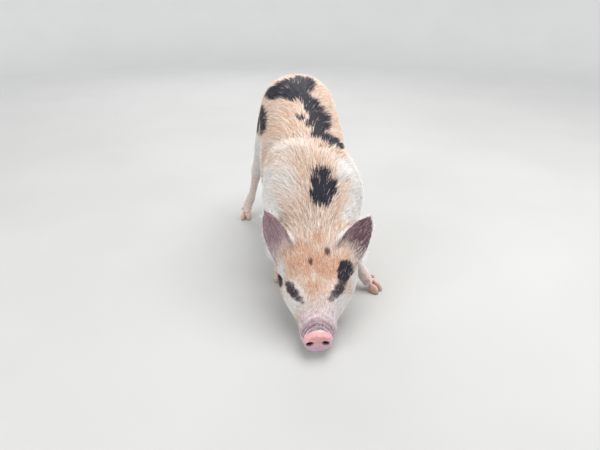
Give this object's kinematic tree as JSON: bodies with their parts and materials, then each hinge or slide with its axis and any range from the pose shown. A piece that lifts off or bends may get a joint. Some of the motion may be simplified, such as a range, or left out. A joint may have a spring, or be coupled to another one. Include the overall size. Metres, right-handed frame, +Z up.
{
  "type": "kunekune piglet",
  "caption": "Still life-size model of a young spotted kunekune pig, standing with its head down and its snout near the ground.",
  "frame": {"origin": "on the floor under the middle of the piglet's outer box", "axes": "+Z up, +Y from the snout towards the tail, +X towards the piglet's left side"},
  "size_m": [0.2886, 0.6128, 0.368],
  "materials": {
    "coat_cream": "cream and tan bristles over pink skin",
    "coat_ginger": "ginger bristles",
    "coat_white": "white bristles",
    "leg_skin": "pink skin with thin pale hair",
    "ear_skin": "thin mauve skin",
    "nose_skin": "moist pink skin",
    "horn": "pale hoof horn",
    "eye": "wet dark brown eye"
  },
  "bodies": {
    "root": {"barrel": "coat_cream", "chest": "coat_white", "ear_left": "ear_skin", "ear_right": "ear_skin", "eye_left": "eye", "eye_right": "eye", "fore_left_claw_inner": "horn", "fore_left_claw_outer": "horn", "fore_left_dewclaw_inner": "horn", "fore_left_dewclaw_outer": "horn", "fore_left_foot": "leg_skin", "fore_left_lower_leg": "leg_skin", "fore_left_upper_leg": "coat_cream", "fore_right_claw_inner": "horn", "fore_right_claw_outer": "horn", "fore_right_dewclaw_inner": "horn", "fore_right_dewclaw_outer": "horn", "fore_right_foot": "leg_skin", "fore_right_lower_leg": "leg_skin", "fore_right_upper_leg": "coat_cream", "head": "coat_ginger", "hind_left_claw_inner": "horn", "hind_left_claw_outer": "horn", "hind_left_dewclaw_inner": "horn", "hind_left_dewclaw_outer": "horn", "hind_left_foot": "leg_skin", "hind_left_lower_leg": "leg_skin", "hind_left_upper_leg": "coat_cream", "hind_right_claw_inner": "horn", "hind_right_claw_outer": "horn", "hind_right_dewclaw_inner": "horn", "hind_right_dewclaw_outer": "horn", "hind_right_foot": "leg_skin", "hind_right_lower_leg": "leg_skin", "hind_right_upper_leg": "coat_cream", "jaw": "coat_white", "neck": "coat_cream", "rump": "coat_cream", "snout_disc": "nose_skin", "tail": "coat_cream", "wattle_left": "leg_skin", "wattle_right": "leg_skin"}
  },
  "joints": []
}
